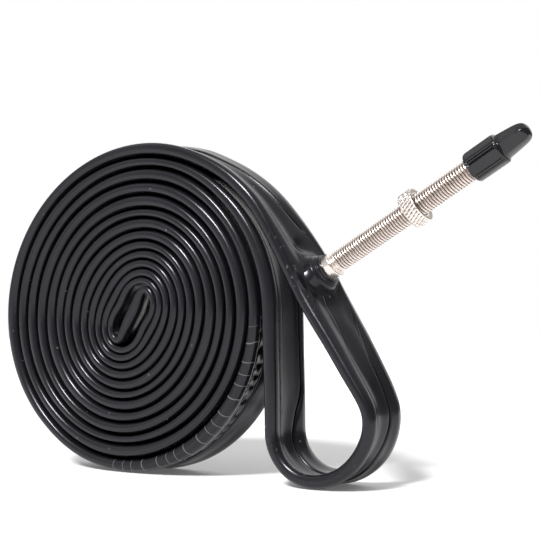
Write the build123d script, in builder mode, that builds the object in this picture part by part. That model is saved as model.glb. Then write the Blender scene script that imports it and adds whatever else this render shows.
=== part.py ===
# A bicycle inner tube with a 60 mm Presta valve, rolled up for packing.
# Millimetres. +Z is up and the roll stands on its edge. The width of the flattened tube runs along Y,
# the coil's face is in the XZ plane, and the origin is the middle of the underside of the whole object.
from build123d import *
from math import cos, exp, radians, sin
import os

# Flattened rubber tube
TUBE_WIDTH = 17.4          # edge to edge when pressed flat
WALL = 0.95                # one wall of the tube, two walls lie together in the roll
TUBE_THICK = 2 * WALL

# The roll: two strands that spiral out from one fold, turning clockwise as they grow
ROLL_X = -34.86            # centre of the roll
ROLL_Z = 44.63
FIRST_RADIUS = 6.3         # radius of the spiral at strand number 0
PITCH = 2.38               # from one strand to the next near the middle
PITCH_GROWTH = 0.067       # the roll is looser towards the outside
CORE_OVAL = 2.7            # the fold makes the middle oval
CORE_OVAL_FADE = 8.0       # strands over which that oval fades
CORE_ANGLE = 50.0          # degrees from +X to the oval's long axis
OUTER_OVAL = 1.04          # the outer strands sag a little wide
OUTER_ANGLE = 6.0
COIL_TURNS = 6             # whole turns of each strand
OUTER_END = 65.0           # angle at which the outermost strand leaves the roll

# The valve points up and to the right from the loop, in the middle of the width
VALVE_TILT = 30.1          # degrees from +X
VALVE_X = 30.34            # the valve axis at its first thread
VALVE_Z = 60.0

# Distances along the valve axis from its first thread, and radii about it
TUBE_FACE = -7.4           # outer surface of the flattened tube
PATCH_LENGTH = 46.0
PATCH_WIDTH = 14.0
PATCH_THICK = 0.7
PATCH_TOP = TUBE_FACE + PATCH_THICK
BOSS_RADIUS = 7.0
BOSS_TOP = -5.7
LOWER_RING = (-4.95, 4.5)  # top, radius
UPPER_RING = (-4.2, 4.15)
FOOT_RADIUS = 5.0
FOOT_BOTTOM = -6.9
FOOT_TOP = -6.2
NECK_RADIUS = 3.3          # between the foot and the collar, inside the rubber
COLLAR_RADIUS = 3.6
COLLAR_TOP = -1.9
RELIEF_RADIUS = 2.65
THREAD_START = -1.2
THREAD_RADIUS = 3.0        # M6 across the crests
STEM_TOP = 45.0
AIR_RADIUS = 1.6           # bore below the core
CORE_SEAT = 38.6
CORE_BORE_RADIUS = 2.1
RUNNING_GAP = 0.05         # radial clearance of parts that slide on each other

NUT_BOTTOM = 23.1
NUT_THICK = 4.0
NUT_RADIUS = 4.9
NUT_KNURLS = 30

CORE_BOTTOM = 39.6         # underside of the core body, where the plunger seals
CORE_TOP = 51.8
CORE_THREAD_RADIUS = 2.6   # VG5 across the crests
WRENCH_FLAT = 4.2          # across the two flats
PIN_RADIUS = 0.95
PIN_BOTTOM = 37.3
PIN_TOP = 57.9
PLUNGER_RADIUS = 1.35
SEAL_RADIUS = 1.45
SEAL_BOTTOM = 38.3
CORE_NUT_BOTTOM = 51.85
CORE_NUT_TOP = 55.4
CORE_NUT_RADIUS = 1.9
CORE_NUT_KNURLS = 18

CAP_OPEN_END = 42.9
CAP_LENGTH = 17.4
CAP_RADIUS = 4.1
CAP_GRIP_LENGTH = 9.4      # the ribbed part
CAP_SHOULDER_RADIUS = 3.5
CAP_TIP_RADIUS = 2.8
CAP_RIBS = 10


def roll_point(strand, angle):
    """The centre line of the rolled tube at a strand number, which need not be whole, and an angle."""
    radius = FIRST_RADIUS + PITCH * strand + PITCH_GROWTH * strand**2
    radius += CORE_OVAL * exp(-strand / CORE_OVAL_FADE) * cos(2 * radians(angle - CORE_ANGLE))
    radius += OUTER_OVAL * (strand / 12) ** 2 * cos(2 * radians(angle - OUTER_ANGLE))
    return Vector(ROLL_X + radius * cos(radians(angle)), 0, ROLL_Z + radius * sin(radians(angle)))


def strand_station(first_strand, turned):
    """A point and heading on a strand that starts at first_strand, after turning clockwise from +X."""
    def at(t):
        return roll_point(first_strand + 2 * t / 360, -t)

    return at(turned), (at(turned + 0.5) - at(turned - 0.5)).normalized()


def station(x, z, heading):
    """A point with its direction of travel in degrees."""
    return Vector(x, 0, z), Vector(cos(radians(heading)), 0, sin(radians(heading)))


def reversed_station(stop):
    return stop[0], stop[1] * -1


def smooth_arcs(stops):
    """Join each pair of stations with two arcs that are tangent to each other and to both headings."""
    for (start, go), (end, arrive) in zip(stops, stops[1:]):
        chord = end - start
        across = chord.dot(go + arrive)
        bend = 2 * (1 - go.dot(arrive))
        if bend < 1e-6:
            reach = chord.dot(chord) / (4 * chord.dot(arrive))
        else:
            reach = (-across + (across**2 + bend * chord.dot(chord)) ** 0.5) / bend
        middle = (start + end + (go - arrive) * reach) * 0.5
        TangentArc(start, middle, tangent=go)
        TangentArc(middle, end, tangent=end - arrive * reach - middle)


def strand_stations(first_strand, begin, end, step=75):
    """Evenly spaced stations along a strand, from one amount of clockwise turning to another."""
    count = round((end - begin) / step)
    return [strand_station(first_strand, begin + (end - begin) * i / count) for i in range(count + 1)]


def strip_section(stop):
    """The plane across the tube at a station: x along its width, y out of its outer face."""
    point, heading = stop
    return Plane(origin=point, x_dir=(0, 1, 0), z_dir=heading)


TILT = radians(VALVE_TILT)
VALVE_DIRECTION = Vector(cos(TILT), 0, sin(TILT))
VALVE_START = Vector(VALVE_X, 0, VALVE_Z)
VALVE_AXIS = Axis(VALVE_START, VALVE_DIRECTION)
# Lathe profiles are drawn here: x is the distance along the valve axis, y is the radius.
LATHE_PLANE = Plane(origin=VALVE_START, x_dir=VALVE_DIRECTION, z_dir=(-sin(TILT), 0, cos(TILT)))


def valve_plane(distance):
    """The plane square to the valve axis at a distance along it, with its x direction along the tube's width."""
    return Plane(origin=VALVE_START + VALVE_DIRECTION * distance, x_dir=(0, 1, 0), z_dir=VALVE_DIRECTION)


def turned(*corners, mode=Mode.ADD):
    """A round piece turned on the valve axis, from its outline in distances and radii."""
    with BuildSketch(LATHE_PLANE) as profile:
        with BuildLine():
            Polyline(*corners, close=True)
        make_face()
    revolve(profile.sketch, axis=VALVE_AXIS, mode=mode)


def bar(bottom, top, radius, mode=Mode.ADD):
    """A plain cylinder on the valve axis."""
    turned((bottom, 0), (bottom, radius), (top, radius), (top, 0), mode=mode)


# The ring is folded flat in two. The fold's S in the middle of the roll feeds both strands.
inner_strand = strand_stations(0.5, -CORE_ANGLE, 360 * COIL_TURNS)
outer_strand = strand_stations(1.5, -CORE_ANGLE - 180, 360 * COIL_TURNS - OUTER_END)
fold = [
    station(ROLL_X + 2.4, ROLL_Z + 5.4, 63),
    station(ROLL_X - 0.5, ROLL_Z + 0.5, 54),
    station(ROLL_X - 3.4, ROLL_Z - 4.4, 63),
]
coil_stops = [reversed_station(stop) for stop in reversed(inner_strand)]
coil_stops += [reversed_station(stop) for stop in fold]
coil_stops += outer_strand

# The loop that carries the valve hangs beside the roll and stands on the same surface.
valve_spot = VALVE_START + VALVE_DIRECTION * (TUBE_FACE - TUBE_THICK / 2)
patch_stops = [
    station(8.8, 75.2, -48),
    station(valve_spot.X, valve_spot.Z, VALVE_TILT - 90),
    station(39.0, 28.0, -62),
]
loop_stops = [outer_strand[-1]]
loop_stops += patch_stops
loop_stops += [
    station(41.8, 17.0, -97),
    station(25.6, TUBE_THICK / 2, 180),
    station(12.7, 14.5, 90),
    reversed_station(inner_strand[-1]),
]

# One ring of tube. The two solids meet at flat cuts where the loop leaves the roll.
with BuildPart() as tube_coil:
    with BuildLine():
        smooth_arcs(coil_stops)
    with BuildSketch(strip_section(coil_stops[0])):
        SlotOverall(TUBE_WIDTH, TUBE_THICK)
    sweep()

with BuildPart() as tube_loop:
    with BuildLine():
        smooth_arcs(loop_stops)
    with BuildSketch(strip_section(loop_stops[0])):
        SlotOverall(TUBE_WIDTH, TUBE_THICK)
    sweep()
    # the punched hole that lets the air in
    bar(TUBE_FACE - WALL, TUBE_FACE + 1, AIR_RADIUS, mode=Mode.SUBTRACT)

# The rubber reinforcement that is moulded round the valve's foot and bonded to the tube
with BuildPart() as valve_patch:
    with BuildLine():
        smooth_arcs(patch_stops)
    with BuildSketch(strip_section(patch_stops[0])):
        with Locations((0, (TUBE_THICK + PATCH_THICK) / 2)):
            Rectangle(PATCH_WIDTH, PATCH_THICK)
    sweep()
    with BuildSketch(valve_plane(TUBE_FACE - 8)):
        with BuildLine():
            leaf_edge = ThreePointArc((0, -PATCH_LENGTH / 2), (PATCH_WIDTH / 2, 0), (0, PATCH_LENGTH / 2))
            mirror(leaf_edge, about=Plane.YZ)
        make_face()
    extrude(amount=12, mode=Mode.INTERSECT)
    turned(
        (PATCH_TOP - 0.4, 0),
        (PATCH_TOP - 0.4, BOSS_RADIUS),
        (PATCH_TOP, BOSS_RADIUS),
        (BOSS_TOP, LOWER_RING[1]),
        LOWER_RING,
        (LOWER_RING[0], UPPER_RING[1]),
        UPPER_RING,
        (UPPER_RING[0], 0),
    )
    bar(TUBE_FACE - 1, FOOT_TOP, AIR_RADIUS, mode=Mode.SUBTRACT)
    bar(FOOT_BOTTOM, FOOT_TOP, FOOT_RADIUS, mode=Mode.SUBTRACT)
    bar(FOOT_TOP, UPPER_RING[0], NECK_RADIUS, mode=Mode.SUBTRACT)

# The nickel-plated brass stem, hollow for the air and bored at the top for the core
with BuildPart() as valve_stem:
    turned(
        (FOOT_BOTTOM, AIR_RADIUS),
        (FOOT_BOTTOM, FOOT_RADIUS),
        (FOOT_TOP, FOOT_RADIUS),
        (FOOT_TOP, NECK_RADIUS),
        (UPPER_RING[0], NECK_RADIUS),
        (UPPER_RING[0], COLLAR_RADIUS),
        (COLLAR_TOP - 0.3, COLLAR_RADIUS),
        (COLLAR_TOP, COLLAR_RADIUS - 0.3),
        (COLLAR_TOP, RELIEF_RADIUS),
        (THREAD_START, RELIEF_RADIUS),
        (THREAD_START + 0.35, THREAD_RADIUS),
        (STEM_TOP - 0.5, THREAD_RADIUS),
        (STEM_TOP, THREAD_RADIUS - 0.5),
        (STEM_TOP, CORE_BORE_RADIUS),
        (CORE_SEAT, CORE_BORE_RADIUS),
        (CORE_SEAT, AIR_RADIUS),
    )

# The knurled ring that holds the stem in the rim, recessed on its outer face
with BuildPart() as rim_nut:
    turned(
        (NUT_BOTTOM, THREAD_RADIUS + RUNNING_GAP),
        (NUT_BOTTOM, NUT_RADIUS - 0.4),
        (NUT_BOTTOM + 0.4, NUT_RADIUS),
        (NUT_BOTTOM + NUT_THICK - 0.4, NUT_RADIUS),
        (NUT_BOTTOM + NUT_THICK, NUT_RADIUS - 0.4),
        (NUT_BOTTOM + NUT_THICK, 3.9),
        (NUT_BOTTOM + NUT_THICK - 0.7, 3.7),
        (NUT_BOTTOM + NUT_THICK - 0.7, THREAD_RADIUS + RUNNING_GAP),
    )
    with BuildSketch(valve_plane(NUT_BOTTOM)):
        with PolarLocations(NUT_RADIUS + 0.1, NUT_KNURLS):
            Circle(0.3)
    extrude(amount=NUT_THICK, mode=Mode.SUBTRACT)

# The removable core: a threaded body, its gasket, and the pin that the air lifts shut
with BuildPart() as core_body:
    turned(
        (CORE_BOTTOM, PIN_RADIUS + RUNNING_GAP),
        (CORE_BOTTOM, CORE_BORE_RADIUS),
        (STEM_TOP, CORE_BORE_RADIUS),
        (STEM_TOP, CORE_THREAD_RADIUS),
        (CORE_TOP - 0.5, CORE_THREAD_RADIUS),
        (CORE_TOP, CORE_THREAD_RADIUS - 0.5),
        (CORE_TOP, PIN_RADIUS + RUNNING_GAP),
    )
    with BuildSketch(valve_plane(CORE_TOP - 3)):
        Circle(CORE_THREAD_RADIUS + 1)
        Rectangle(WRENCH_FLAT, 3 * CORE_THREAD_RADIUS, mode=Mode.SUBTRACT)
    extrude(amount=4, mode=Mode.SUBTRACT)

with BuildPart() as core_gasket:
    turned(
        (CORE_SEAT, AIR_RADIUS),
        (CORE_SEAT, CORE_BORE_RADIUS),
        (CORE_BOTTOM, CORE_BORE_RADIUS),
        (CORE_BOTTOM, AIR_RADIUS),
    )

with BuildPart() as core_pin:
    bar(PIN_BOTTOM, SEAL_BOTTOM, PLUNGER_RADIUS)
    bar(SEAL_BOTTOM, PIN_TOP, PIN_RADIUS)
    chamfer(core_pin.edges().sort_by(VALVE_AXIS)[-1], length=0.3)

with BuildPart() as plunger_seal:
    turned(
        (SEAL_BOTTOM, PIN_RADIUS),
        (SEAL_BOTTOM, SEAL_RADIUS),
        (CORE_BOTTOM - 0.3, SEAL_RADIUS),
        (CORE_BOTTOM - 0.02, PIN_RADIUS + 0.25),
        (CORE_BOTTOM - 0.02, PIN_RADIUS),
    )

# The small nut on the pin: screwed down it locks the valve shut
with BuildPart() as core_nut:
    turned(
        (CORE_NUT_BOTTOM, PIN_RADIUS + RUNNING_GAP),
        (CORE_NUT_BOTTOM, 1.5),
        (CORE_NUT_BOTTOM + 0.7, 1.5),
        (CORE_NUT_BOTTOM + 0.7, CORE_NUT_RADIUS),
        (CORE_NUT_TOP - 0.3, CORE_NUT_RADIUS),
        (CORE_NUT_TOP, CORE_NUT_RADIUS - 0.3),
        (CORE_NUT_TOP, PIN_RADIUS + RUNNING_GAP),
    )
    with BuildSketch(valve_plane(CORE_NUT_BOTTOM + 0.7)):
        with PolarLocations(CORE_NUT_RADIUS + 0.05, CORE_NUT_KNURLS):
            Circle(0.15)
    extrude(amount=CORE_NUT_TOP - CORE_NUT_BOTTOM, mode=Mode.SUBTRACT)

# The plastic dust cap: a ribbed grip, a shoulder and a tapered round tip, hollow over the stem and core
CAP_TOP = CAP_OPEN_END + CAP_LENGTH
GRIP_END = CAP_OPEN_END + CAP_GRIP_LENGTH
with BuildPart() as dust_cap:
    turned(
        (CAP_OPEN_END, 0),
        (CAP_OPEN_END, CAP_RADIUS - 0.7),
        (CAP_OPEN_END + 0.7, CAP_RADIUS),
        (GRIP_END - 0.6, CAP_RADIUS),
        (GRIP_END, CAP_SHOULDER_RADIUS),
        (CAP_TOP - 1.6, CAP_TIP_RADIUS),
        (CAP_TOP - 0.4, CAP_TIP_RADIUS - 0.6),
        (CAP_TOP, CAP_TIP_RADIUS - 1.6),
        (CAP_TOP, 0),
    )
    with BuildSketch(valve_plane(CAP_OPEN_END)):
        with PolarLocations(CAP_RADIUS + 0.55, CAP_RIBS):
            Circle(0.8)
    extrude(amount=CAP_GRIP_LENGTH - 0.8, mode=Mode.SUBTRACT)
    bar(CAP_OPEN_END, STEM_TOP + 0.3, THREAD_RADIUS + 0.1, mode=Mode.SUBTRACT)
    bar(STEM_TOP, CORE_TOP + 0.5, CORE_THREAD_RADIUS + RUNNING_GAP, mode=Mode.SUBTRACT)
    bar(CORE_TOP, PIN_TOP + 0.9, CORE_NUT_RADIUS + 0.2, mode=Mode.SUBTRACT)

os.makedirs("parts", exist_ok=True)
tube_coil.part.label = "tube_coil"
tube_loop.part.label = "tube_loop"
valve_patch.part.label = "valve_patch"
valve_stem.part.label = "valve_stem"
rim_nut.part.label = "rim_nut"
core_body.part.label = "core_body"
core_gasket.part.label = "core_gasket"
core_pin.part.label = "core_pin"
plunger_seal.part.label = "plunger_seal"
core_nut.part.label = "core_nut"
dust_cap.part.label = "dust_cap"
export_step(tube_coil.part, "parts/tube_coil.step")
export_step(tube_loop.part, "parts/tube_loop.step")
export_step(valve_patch.part, "parts/valve_patch.step")
export_step(valve_stem.part, "parts/valve_stem.step")
export_step(rim_nut.part, "parts/rim_nut.step")
export_step(core_body.part, "parts/core_body.step")
export_step(core_gasket.part, "parts/core_gasket.step")
export_step(core_pin.part, "parts/core_pin.step")
export_step(plunger_seal.part, "parts/plunger_seal.step")
export_step(core_nut.part, "parts/core_nut.step")
export_step(dust_cap.part, "parts/dust_cap.step")
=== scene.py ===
import math
import bpy
import bmesh
import numpy as np
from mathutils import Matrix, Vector


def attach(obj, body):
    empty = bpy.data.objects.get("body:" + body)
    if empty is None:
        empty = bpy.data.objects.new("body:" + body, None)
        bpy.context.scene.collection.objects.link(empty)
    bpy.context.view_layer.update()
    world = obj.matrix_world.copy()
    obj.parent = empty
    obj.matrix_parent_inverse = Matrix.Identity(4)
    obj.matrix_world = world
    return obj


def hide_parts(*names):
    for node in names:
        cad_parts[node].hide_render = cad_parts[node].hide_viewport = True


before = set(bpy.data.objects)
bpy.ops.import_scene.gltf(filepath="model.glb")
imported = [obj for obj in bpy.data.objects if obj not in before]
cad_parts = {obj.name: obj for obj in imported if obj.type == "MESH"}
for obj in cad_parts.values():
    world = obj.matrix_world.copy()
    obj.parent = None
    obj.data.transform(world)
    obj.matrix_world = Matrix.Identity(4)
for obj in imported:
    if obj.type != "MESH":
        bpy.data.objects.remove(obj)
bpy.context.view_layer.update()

# The looks of a rolled bicycle inner tube and its valve. Shapes are worked out in millimetres in the
# row frame, with +Z up and the tube's width along Y, and scaled to metres as each mesh is made.
MM = 0.001

# ---------------------------------------------------------------- the tube's route
TUBE_WIDTH = 17.4
ROLL_X, ROLL_Z = -34.86, 45.5
FIRST_RADIUS = 6.3         # the roll's radius at strand 0
STRAND_PITCH = 2.38        # each strand adds this much to the radius,
STRAND_GROWTH = 0.067      # and this much more for each strand before it
VALVE_TILT = math.radians(30.1)
VALVE_START = np.array([30.34, 0.0, 60.0])
VALVE_DIRECTION = np.array([math.cos(VALVE_TILT), 0.0, math.sin(VALVE_TILT)])
VALVE_SIDE = np.array([0.0, 1.0, 0.0])
VALVE_UP = np.array([-math.sin(VALVE_TILT), 0.0, math.cos(VALVE_TILT)])
FOOT_DEPTH = 8.35          # from the tube's middle line to the valve's start
VALVE_SPOT = VALVE_START - VALVE_DIRECTION * FOOT_DEPTH
LOOP_BEAD = 3.7            # bead thickness where nothing presses on the tube
FINE_STEP = 0.25           # spacing of the fine steps round the ring


def spiral_radius(strand, angle):
    """Radius of the roll at a strand number and an angle in degrees."""
    radius = FIRST_RADIUS + STRAND_PITCH * strand + STRAND_GROWTH * strand**2
    radius += 2.7 * math.exp(-strand / 8.0) * math.cos(2 * math.radians(angle - 50))
    radius += 1.04 * (strand / 12) ** 2 * math.cos(2 * math.radians(angle - 6))
    return radius


def gap_radius(gap, angle):
    """Radius of the gap between two strands, a little uneven as rubber rolled by hand is."""
    a = math.radians(angle)
    uneven = 0.24 * math.sin(1.7 * gap + a + 0.6)
    uneven += 0.20 * math.sin(2.9 * gap - 2 * a + 2.1)
    uneven += 0.12 * math.sin(0.9 * gap + 3 * a)
    # the outer turns sit up and to the left, and the last is drawn in under the leg
    spread = 1.5 * max(0.0, math.cos(a - math.radians(135)))
    free = 1.0 - min(1.0, max(0.0, (gap - 11.9) / 0.6))
    spread -= 1.25 * max(0.0, math.cos(a + math.radians(20))) * free
    uneven = uneven * min(1.0, max(0.0, gap) / 7.0)
    return spiral_radius(gap, angle) + uneven + spread * (max(0.0, gap) / 12) ** 2


ROW_DEGREES = 3.0


def slack_at(strand):
    """The gap left between the front beads of neighbouring strands."""
    return 0.34 + 0.055 * strand


def strand_row(first, turned):
    """Point and bead thickness of a strand that starts at first, after turning clockwise from +X."""
    strand, angle = first + 2 * turned / 360, -turned
    inner, outer = gap_radius(strand - 0.5, angle), gap_radius(strand + 0.5, angle)
    middle, a = (inner + outer) / 2, math.radians(angle)
    x, z = ROLL_X + middle * math.cos(a), ROLL_Z + middle * math.sin(a)
    return (x, z, outer - inner - slack_at(strand), slack_at(strand))


def strand_rows(first, begin, end):
    """Rows of a strand from one turned angle to another."""
    count = int(abs(end - begin) / ROW_DEGREES)
    return [strand_row(first, begin + (end - begin) * i / count) for i in range(count + 1)]


def heading_of(row_a, row_b):
    """Unit direction from one row to the next."""
    d = np.array([row_b[0] - row_a[0], row_b[1] - row_a[1]])
    return d / np.linalg.norm(d)


def stop(x, z, heading, bead):
    """A place the route passes through, with its heading in degrees and its bead thickness."""
    a = math.radians(heading)
    return np.array([x, z]), np.array([math.cos(a), math.sin(a)]), bead


ARC_POINTS = 14


def arc_rows(start, go, end):
    """Points on the arc from start, leaving along go, to end."""
    chord = end - start
    side = go[0] * chord[1] - go[1] * chord[0]
    if abs(side) < 1e-6:
        return [start + chord * i / ARC_POINTS for i in range(ARC_POINTS)]
    radius = chord.dot(chord) / (2 * side)
    centre = start + np.array([-go[1], go[0]]) * radius
    swing = 2 * math.atan2(side, chord.dot(go))
    out = []
    r = start - centre
    for i in range(ARC_POINTS):
        a = swing * i / ARC_POINTS
        c, s = math.cos(a), math.sin(a)
        out.append(centre + np.array([c * r[0] - s * r[1], s * r[0] + c * r[1]]))
    return out


def two_arcs(stops):
    """Rows along pairs of tangent arcs through the stops."""
    rows = []
    for (start, go, bead_a), (end, arrive, bead_b) in zip(stops, stops[1:]):
        chord = end - start
        across, bend = chord.dot(go + arrive), 2 * (1 - go.dot(arrive))
        if bend < 1e-6:
            reach = chord.dot(chord) / (4 * chord.dot(arrive))
        else:
            reach = (-across + (across**2 + bend * chord.dot(chord)) ** 0.5) / bend
        middle = (start + end + (go - arrive) * reach) * 0.5
        points = arc_rows(start, go, middle)
        points += arc_rows(middle, end - arrive * reach - middle, end)
        for i, p in enumerate(points):
            u = i / len(points)
            rows.append((p[0], p[1], bead_a + (bead_b - bead_a) * u, slack_at(0)))
    return rows


def unit(v):
    return v / np.linalg.norm(v)


inner = strand_rows(0.5, 2160, -50)
outer = strand_rows(1.5, -230, 2095)
start_inner = (np.array(inner[-1][:2]), heading_of(inner[-2], inner[-1]), inner[-1][2])
start_outer = (np.array(outer[0][:2]), heading_of(outer[0], outer[1]), outer[0][2])
fold = [
    start_inner,
    stop(ROLL_X + 2.4, ROLL_Z + 5.6, 243, 3.0),
    stop(ROLL_X - 0.3, ROLL_Z + 0.6, 236, 4.1),
    stop(ROLL_X - 3.2, ROLL_Z - 4.3, 243, 3.0),
    start_outer,
]
loop = [
    (np.array(outer[-1][:2]), heading_of(outer[-2], outer[-1]), outer[-1][2]),
    stop(8.8, 75.3, -48, LOOP_BEAD),
    (VALVE_SPOT[[0, 2]], np.array([math.sin(VALVE_TILT), -math.cos(VALVE_TILT)]), LOOP_BEAD),
    stop(39.0, 28.6, -62, LOOP_BEAD),
    stop(42.2, 17.6, -95, LOOP_BEAD),
    stop(25.4, 2.0, 180, LOOP_BEAD),
    stop(12.9, 14.5, 90, LOOP_BEAD),
    (np.array(inner[0][:2]), heading_of(inner[0], inner[1]), inner[0][2]),
]
rows = np.array(inner + two_arcs(fold)[1:] + outer + two_arcs(loop)[1:])
keep = np.r_[True, np.linalg.norm(np.diff(rows[:, :2], axis=0), axis=1) > 0.02]
rows = rows[keep]
closed = np.vstack([rows, rows[:1]])
run = np.r_[0.0, np.cumsum(np.linalg.norm(np.diff(closed[:, :2], axis=0), axis=1))]
LENGTH = run[-1]
COUNT = int(LENGTH / FINE_STEP)
along = np.arange(COUNT) * LENGTH / COUNT


def smooth_ring(values, sigma_mm):
    """Gaussian blur round the closed ring."""
    reach = int(3 * sigma_mm / FINE_STEP)
    kernel = np.exp(-0.5 * (np.arange(-reach, reach + 1) * FINE_STEP / sigma_mm) ** 2)
    kernel /= kernel.sum()
    return np.convolve(np.r_[values[-reach:], values, values[:reach]], kernel, "valid")


path_x = smooth_ring(np.interp(along, run, closed[:, 0]), 0.9)
path_z = smooth_ring(np.interp(along, run, closed[:, 1]), 0.9)
bead = smooth_ring(np.interp(along, run, closed[:, 2]), 2.5)
slack = smooth_ring(np.interp(along, run, closed[:, 3]), 2.5)
gone_x = np.roll(path_x, -2) - np.roll(path_x, 2)
gone_z = np.roll(path_z, -2) - np.roll(path_z, 2)
norm = np.hypot(gone_x, gone_z)
gone_x, gone_z = gone_x / norm, gone_z / norm
valve_index = int(np.argmin(np.hypot(path_x - VALVE_SPOT[0], path_z - VALVE_SPOT[2])))
# distance along the ring from the valve: negative back over the top of the roll
rel = (np.arange(COUNT) - valve_index) * LENGTH / COUNT
rel = (rel + LENGTH / 2) % LENGTH - LENGTH / 2


def along_ring(table, sigma=2.5):
    """A value given at distances from the valve, made smooth along the ring."""
    at, value = zip(*table)
    return smooth_ring(np.interp(rel, at, value), sigma)


def smoothstep(x):
    """An eased step from 0 to 1."""
    x = np.clip(x, 0.0, 1.0)
    return x * x * (3 - 2 * x)


# how the tube is pressed and folded near the valve and round the loop
front_drop = along_ring([(-40, 0), (-26, 0.7), (-12, 3.0), (-3, 4.0), (6, 3.9), (13, 3.2), (22, 2.5),
                         (31, 1.7), (38, 0.4), (44, -0.4), (52, 0.0)], 3.0)
front_in = along_ring([(-30, 0), (-10, 1.0), (0, 1.5), (12, 0.9), (30, 0.2), (40, 0)], 3.0)
# outer face: the deep crease behind the front half, and the round lobe at the rear
outer_crease = along_ring([(-300, 0), (-285, 1.1), (-190, 1.1), (-110, 0.8), (-80, 0.9), (-56, 1.0),
                           (-18, 1.2), (-15, 0.8), (-12.5, 0), (12, 0), (15, 0.5), (24, 0.8),
                           (34, 1.2), (60, 1.3), (75, 0.7), (90, 0.25), (110, 0.15), (150, 0)], 0.8)
outer_crease_y = along_ring([(-300, -0.5), (-240, -0.8), (-190, -0.3), (-130, 0.8), (-80, 1.2), (-50, 1.5),
                             (-35, 1.9), (-25.5, 2.6), (-20.5, 3.3), (-15.5, 4.3), (-8, 5.6), (12, 5.6),
                             (16, 4.6), (26, 2.5), (38, 2.6), (42, 3.0), (47, 2.0), (52, 0.9), (60, 1.3),
                             (90, 1.6)], 2.0)
rear_lobe = along_ring([(-300, 0.0), (-270, 0.2), (-190, 0.1), (-90, 0.3), (-30, 0.5), (-14, 0.4), (0, 0.1),
                        (20, 0.1), (45, 0.35), (62, 0.4), (90, 0.2), (150, 0.1)], 4.0)
front_hollow = along_ring([(-120, 0), (-60, 0.5), (-25, 1.2), (-10, 1.2), (-4, 0.5), (8, 0.5), (20, 0.7),
                           (60, 0.6), (110, 0.1)], 3.0)
# inner face: a crease down the leg with one wave in it, and on round the bottom
inner_crease = along_ring([(30, 0), (45, 0.5), (60, 1.0), (85, 1.2), (110, 1.1), (140, 0.8), (165, 0.3),
                           (200, 0)], 2.0)
inner_crease_y = along_ring([(40, 0.6), (70, 0.8), (76, 1.2), (82, 1.5), (87, 2.1), (91.5, 3.6), (95.5, 5.2),
                             (99, 5.8), (120, 5.6), (150, 5.0)], 1.2)
# the mould's parting line, on the outer face and on the inner
outer_line_y = along_ring([(-1000, -6.5), (-60, -6.5), (-46, -5.6), (-36, -4.2), (-26, -2.2), (-15, -1.9),
                           (0, -2.5), (8, -2.2), (16, -2.7), (28, -5.2), (36, -6.4), (1000, -6.4)], 1.5)
inner_line_y = along_ring([(-1000, -6.4), (70, -6.4), (86, -6.2), (90.5, -3.8), (95, -2.1), (103, -1.9),
                           (150, -1.8), (180, -6.4), (1000, -6.4)], 1.5)
# how strongly a painted highlight lies along the parting line, at distances from the valve
painted_line_highlight = along_ring([(-1000, 0.0), (-290, 0.0), (-282, 1.0), (-246, 1.0), (-236, 0.2), (-60, 0.1),
                        (-52, 0.8), (-30, 0.8), (-24, 0.15), (20, 0.15), (40, 0.3), (1000, 0.1)], 1.5)
in_roll = along_ring([(-1000, 1), (-44, 1), (-20, 0), (152, 0), (172, 1), (1000, 1)], 2.0)
pleat_zone = along_ring([(-290, 0), (-284, 1), (-246, 1), (-237, 0)], 1.5)
arc_zone = along_ring([(-288, 0), (-283, 1), (-217, 1), (-212, 0)], 1.0)

# ---------------------------------------------------------------- the tube's section
END_STEPS = 7              # points on a quarter of a rounded edge
SIDE_PARTS = (17, 11, 8)   # points on a flat: before, at and behind the crease
SIDE_COUNT = sum(SIDE_PARTS)
WAIST = 2.2                # the thickness between the beads, where the beads are thick enough
CREASE_WIDTH = 0.32
PLEAT_PITCH = 4.1
PLEAT_SWELL, PLEAT_TUCK = 0.26, 0.60
FOOT_REACH = 34            # how far from the valve its stiff foot shapes the tube
ARC_LEAN = 0.07            # how far an arc leans and bends, as a part of the pleats' spacing
FAR_MARK = 9.0             # a distance at which no line or crease shows


def side_positions(flat_edge, crease_y):
    """Places across the flat of the tube, closest together at the crease."""
    middle = min(crease_y, flat_edge - 1.0)
    low, high = middle - 1.0, middle + 0.9
    return np.concatenate([np.linspace(-flat_edge, low, SIDE_PARTS[0], endpoint=False),
                           np.linspace(low, high, SIDE_PARTS[1]),
                           np.linspace(high, flat_edge, SIDE_PARTS[2] + 1)[1:]])


def half_thickness(y, bead_i, waist):
    """Half the thickness across the tube: full at the beads and thin between them."""
    flat_edge = TUBE_WIDTH / 2 - bead_i / 2
    fade = smoothstep((np.abs(y) - (flat_edge - 3.6)) / 3.4)
    return waist / 2 + (bead_i / 2 - waist / 2) * fade


def bump(x, width):
    """A smooth hump of height 1 at 0."""
    return np.exp(-((x / width) ** 2))


def rear_closing(y, i):
    """The rear beads close up on each other, so no daylight shows through the roll."""
    return (slack[i] / 2 + 0.01) * smoothstep((y + 1.0) / 4.0) * in_roll[i]


def pleat_turn(s):
    """How many pleats there have been by distance s along the ring."""
    return (s + 0.9 * np.sin(s * 0.37)) / PLEAT_PITCH


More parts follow.
